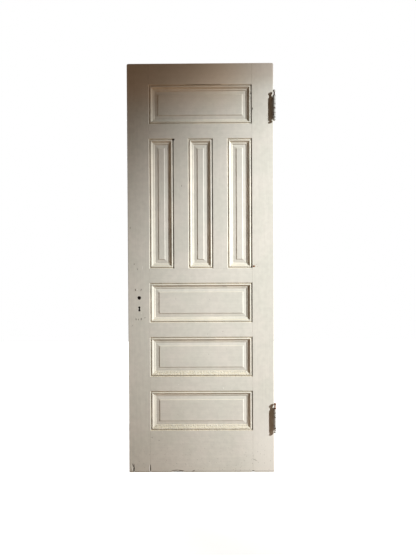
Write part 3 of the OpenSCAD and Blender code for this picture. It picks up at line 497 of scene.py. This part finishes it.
# Dirt in the lock's ways: plugs of grease, dust and paint flakes, caked in the hub's square and over the
# key slot, which close the way through the lock. They are almost black, and stand in as painted shade in
# the holes.

SHADE_CRUMBS_DARK = "#17120E"
SHADE_CRUMBS_BROWN = "#2B221A"
# Crumbs and lumps have their real sizes.
CRUMB_W = 2 * MM
LUMP_IN_DIRT_W = 3 * MM
SQUARE_MIDDLE = Vector((-323, 0, 917)) * MM
SQUARE_PLUG = Vector((7.4, 6, 7.4)) * MM
KEY_SLOT_MIDDLE = Vector((-323, 6, 860.5)) * MM
KEY_SLOT_PLUG = Vector((11, 1, 24)) * MM
PRESSED_IN = 0.25 * MM


def caked_dirt_shade():
    """Dry dirt caked with grease: almost black as painted shade in the lock's holes, with browner crumbs, and
    no gloss.
    """
    material, tree, place = new_material("caked_dirt_shade")
    crumbs = add(tree, "TexNoise", {"Vector": place, "Scale": 1 / CRUMB_W, "Detail": 4})
    browner = add(tree, "MapRange", [crumbs, 0.35, 0.65], interpolation_type="SMOOTHSTEP")
    colours = {0: browner, 6: linear(SHADE_CRUMBS_DARK), 7: linear(SHADE_CRUMBS_BROWN)}
    shader = add(tree, "BsdfPrincipled", {
        "Base Color": add(tree, "Mix", colours, 2, data_type="RGBA"),
        "Roughness": 0.95,
        "Specular IOR Level": 0.1,
    })
    add(tree, "OutputMaterial", {"Surface": shader})
    return material


lock_dirt_shade = caked_dirt_shade()
for name, middle, size, body in (("hub_shade_plug", SQUARE_MIDDLE, SQUARE_PLUG, "hub"),
                                 ("keyway_shade_plug", KEY_SLOT_MIDDLE, KEY_SLOT_PLUG, "door")):
    plug = bmesh.new()
    bmesh.ops.create_cube(plug, size=1)
    bmesh.ops.subdivide_edges(plug, edges=plug.edges[:], cuts=7, use_grid_fill=True)
    for vert in plug.verts:
        skin = middle + vert.co * size
        lump = noise.noise(skin / LUMP_IN_DIRT_W)
        vert.co = skin - vert.co.normalized() * (1 + lump) * PRESSED_IN
    piece = link_piece(name, plug, lock_dirt_shade)
    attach(piece, body)


# Butt hinges: pressed and rolled steel leaves with loose pins and ball tips, screwed into gains in the
# edge. They were painted with the door, and the paint has chipped to dark rust at the knuckles' ends.

# The upper hinge's paint is darker than the lower's, where the light is stronger: painted shade on one copy
# of the same paint.
UPPER_HINGE_SHADED_PAINT = "#A6A49D"
LOWER_HINGE_PAINT = "#CFCCC4"
HINGE_RUST = "#432A1C"
PIN_STEEL = "#5C4431"
PIN_RUST = "#8A5A38"
KNUCKLES = 5
BARREL_FRONT_Y = -28 * MM
BARREL_BACK_Y = -24 * MM
BALL_H = 14 * MM
# The chips and the dimples in the paint's skin have their real sizes.
CHIP_W = 11 * MM
DIMPLE_W = 2 * MM
PAINT_SKIN = 0.3 * MM
KNOCKED_END = 4 * MM


def chipped_paint_on_steel(name, paint, chipped, knuckles=None, bare_below=None):
    """Oil paint over steel: a thick cream skin, with ragged chips where brown rust shows, most of them at
    the knuckles' ends. Below bare_below the paint has gone."""
    material, tree, place = new_material(name)
    y, z = add(tree, "SeparateXYZ", [place]).node.outputs[1:]
    worn = add(tree, "TexNoise", {"Vector": place, "Scale": 1 / CHIP_W, "Detail": 6})
    dimples = add(tree, "TexNoise", {"Vector": place, "Scale": 1 / DIMPLE_W, "Detail": 3})
    if knuckles:
        foot, knuckle_h = knuckles
        rise = add(tree, "Math", [z, foot], operation="SUBTRACT")
        to_end = add(tree, "Math", [rise, knuckle_h / 2], operation="PINGPONG")
        at_end = add(tree, "MapRange", [to_end, KNOCKED_END, 0.0, 0.0, 0.16], interpolation_type="SMOOTHSTEP")
        barrel = add(tree, "MapRange", [y, BARREL_BACK_Y, BARREL_FRONT_Y], interpolation_type="SMOOTHSTEP")
        knocked = add(tree, "Math", [at_end, barrel], operation="MULTIPLY")
        worn = add(tree, "Math", [worn, knocked], operation="ADD")
    bare = add(tree, "MapRange", [worn, 0.67 - chipped / 2, 0.69 - chipped / 2],
               interpolation_type="SMOOTHSTEP")
    if bare_below:
        neck = add(tree, "MapRange", [z, bare_below + 1 * MM, bare_below], interpolation_type="SMOOTHSTEP")
        bare = add(tree, "Math", [bare, neck], operation="MAXIMUM")
    colour = add(tree, "Mix", {0: bare, 6: linear(paint), 7: linear(HINGE_RUST)}, 2, data_type="RGBA")
    tone = add(tree, "MapRange", [dimples, 0.3, 0.7, 0.88, 1.05], interpolation_type="SMOOTHSTEP")
    skin = add(tree, "MapRange", [bare, 0, 1, 1, 0], interpolation_type="SMOOTHSTEP")
    colour = add(tree, "Mix", {0: 1.0, 6: colour, 7: tone}, 2, data_type="RGBA", blend_type="MULTIPLY")
    shader = add(tree, "BsdfPrincipled", {
        "Base Color": colour,
        "Roughness": add(tree, "MapRange", [bare, 0, 1, 0.5, 0.85], interpolation_type="SMOOTHSTEP"),
        "Specular IOR Level": 0.3,
        "Normal": add(tree, "Bump", {"Height": skin, "Strength": 1.0, "Distance": PAINT_SKIN}),
    })
    add(tree, "OutputMaterial", {"Surface": shader})
    return material


for hinge, paint in (("upper_hinge_", UPPER_HINGE_SHADED_PAINT), ("lower_hinge_", LOWER_HINGE_PAINT)):
    low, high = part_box(hinge + "jamb_leaf")
    knuckles = (low.z, (high.z - low.z) / KNUCKLES)
    painted_steel = chipped_paint_on_steel(hinge + "chipped_paint", paint, 0.14, knuckles)
    finish_nodes([hinge + "door_leaf", hinge + "jamb_leaf", hinge + "bottom_tip"], painted_steel)
    finish_nodes([hinge + "screws"], screw_steel)
ball_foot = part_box("upper_hinge_pin")[1].z - BALL_H
bare_neck = chipped_paint_on_steel("bare_neck_paint", UPPER_HINGE_SHADED_PAINT, 0.0, bare_below=ball_foot)
finish_nodes(["upper_hinge_pin"], bare_neck)
finish_nodes(["lower_hinge_pin"], rusted_iron("rusted_pin_steel", PIN_STEEL, PIN_RUST, 0.5))


# Floor and surround: a plain pale painted floor under the door, in a white surround. The camera, gloss and
# glass see them white, and the door is lit by a weak warm bounce off both.

FLOOR_HALF = 4.0
FLOOR_PAINT = "#E8E6E2"
FLOOR_FOR_BOUNCES = "#3A3835"
WHITE = "#FFFFFF"
WARM_BOUNCE = "#FFCFA3"
FLOOR_BOUNCE = 0.2625
SURROUND_BOUNCE = 0.03
# Specks in floor paint are about 1 mm wide, too fine to show, so they are drawn as scuffs of 40 mm.
SPECK_W = 40 * MM
SHADE_NEAR = 0.4
SHADE_FAR = 1.4


def seen_directly(tree):
    """1 for a ray from the camera, from gloss or through glass, and 0 for a ray that lights the door."""
    rays = add(tree, "LightPath").node.outputs
    seen = add(tree, "Math", [rays["Is Camera Ray"], rays["Is Glossy Ray"]], operation="MAXIMUM")
    return add(tree, "Math", [seen, rays["Is Transmission Ray"]], operation="MAXIMUM")


def pale_floor():
    """Matt floor paint: almost white and faintly specked, a little less bright near the door."""
    material, tree, place = new_material("pale_floor")
    seen = seen_directly(tree)
    specks = add(tree, "TexNoise", {"Vector": place, "Scale": 1 / SPECK_W, "Detail": 4})
    tone = add(tree, "MapRange", [specks, 0.3, 0.7, 0.97, 1.0], interpolation_type="SMOOTHSTEP")
    specked = add(tree, "Mix", {0: 1.0, 6: linear(FLOOR_PAINT), 7: tone}, 2, data_type="RGBA",
                  blend_type="MULTIPLY")
    reach = add(tree, "VectorMath", [place], "Value", operation="LENGTH")
    glow = add(tree, "MapRange", [reach, SHADE_NEAR, SHADE_FAR, 0.8, 1.0], interpolation_type="SMOOTHSTEP")
    light = {0: seen, 6: linear(WARM_BOUNCE), 7: linear(WHITE)}
    paint = {0: seen, 6: linear(FLOOR_FOR_BOUNCES), 7: specked}
    shader = add(tree, "BsdfPrincipled", {
        "Base Color": add(tree, "Mix", paint, 2, data_type="RGBA"),
        "Roughness": 0.9,
        "Specular IOR Level": 0.1,
        "Emission Color": add(tree, "Mix", light, 2, data_type="RGBA"),
        "Emission Strength": add(tree, "Mix", {0: seen, 2: FLOOR_BOUNCE, 3: glow}),
    })
    add(tree, "OutputMaterial", {"Surface": shader})
    return material


floor_shape = bmesh.new()
bmesh.ops.create_grid(floor_shape, x_segments=1, y_segments=1, size=FLOOR_HALF)
link_piece("floor", floor_shape, pale_floor())

surround = bpy.data.worlds.new("white_surround")
scene.world = surround
surround.use_nodes = True
surround.node_tree.nodes.clear()
white = add(surround.node_tree, "Background", {"Color": linear(WHITE), "Strength": 1.0})
bounce = add(surround.node_tree, "Background", {"Color": linear(WARM_BOUNCE), "Strength": SURROUND_BOUNCE})
shown = add(surround.node_tree, "MixShader", [seen_directly(surround.node_tree), bounce, white])
add(surround.node_tree, "OutputWorld", {"Surface": shown})


# Lamps: a distant spot lamp from the upper right in front, whose beam fades towards the top left of the
# door, a weak soft lamp at the right that lights the left sides of the mouldings, and a broad one behind.

KEY_PLACE = (6.3, -4.15, 4.7)
KEY_TARGET = (1.774, 0, 1.554)
KEY_POWER = 5538
KEY_COLOUR = (0.94, 1.0, 1.05)
KEY_CONE = 0.44
KEY_BLEND = 0.69
KEY_RADIUS = 0.2
SIDE_PLACE = (3.2, -0.5, 1.45)
SIDE_TARGET = (0, 0, 1.1)
SIDE_POWER = 24
SIDE_COLOUR = (1.07, 0.98, 0.9)
SIDE_SIZE = 0.9
BACK_PLACE = (-1.8, 3.6, 2.6)
BACK_TARGET = (0, 0, 1.0)
BACK_POWER = 170
BACK_COLOUR = (1, 1, 1)
BACK_SIZE = 2.2


def hang_lamp(lamp, power, colour, place, target):
    """Hangs a lamp at a place, pointing at a target."""
    lamp.energy = power
    lamp.color = colour
    hung = bpy.data.objects.new(lamp.name, lamp)
    hung.location = place
    hung.rotation_euler = (Vector(target) - Vector(place)).to_track_quat("-Z", "Y").to_euler()
    scene.collection.objects.link(hung)


key = bpy.data.lights.new("key_lamp", "SPOT")
key.spot_size = KEY_CONE
key.spot_blend = KEY_BLEND
key.shadow_soft_size = KEY_RADIUS
hang_lamp(key, KEY_POWER, KEY_COLOUR, KEY_PLACE, KEY_TARGET)
side = bpy.data.lights.new("side_lamp", "AREA")
side.size = SIDE_SIZE
hang_lamp(side, SIDE_POWER, SIDE_COLOUR, SIDE_PLACE, SIDE_TARGET)
back = bpy.data.lights.new("back_lamp", "AREA")
back.size = BACK_SIZE
hang_lamp(back, BACK_POWER, BACK_COLOUR, BACK_PLACE, BACK_TARGET)


# Camera: almost square to the front of the leaf, a little under half its height, turned very slightly. Its
# focal length is written in pixels of the picture, and its turns in degrees.

IMAGE_H = 555
FOCAL_PX = 401
SENSOR_H = 36
CAMERA_PLACE = (0.0465, -2.1168, 1.0453)
YAW, PITCH, ROLL = (math.radians(angle) for angle in (-0.253, -0.64, -0.284))
forward = Vector((math.sin(YAW) * math.cos(PITCH), math.cos(YAW) * math.cos(PITCH), math.sin(PITCH)))
level_right = Vector((math.cos(YAW), -math.sin(YAW), 0))
level_up = level_right.cross(forward)
right = math.cos(ROLL) * level_right + math.sin(ROLL) * level_up
up = math.cos(ROLL) * level_up - math.sin(ROLL) * level_right
lens = bpy.data.cameras.new("camera")
lens.sensor_fit = "VERTICAL"
lens.sensor_height = SENSOR_H
lens.lens = SENSOR_H * FOCAL_PX / IMAGE_H
camera = bpy.data.objects.new("camera", lens)
camera.matrix_world = Matrix.Translation(CAMERA_PLACE) @ Matrix((right, up, -forward)).transposed().to_4x4()
scene.collection.objects.link(camera)
scene.camera = camera
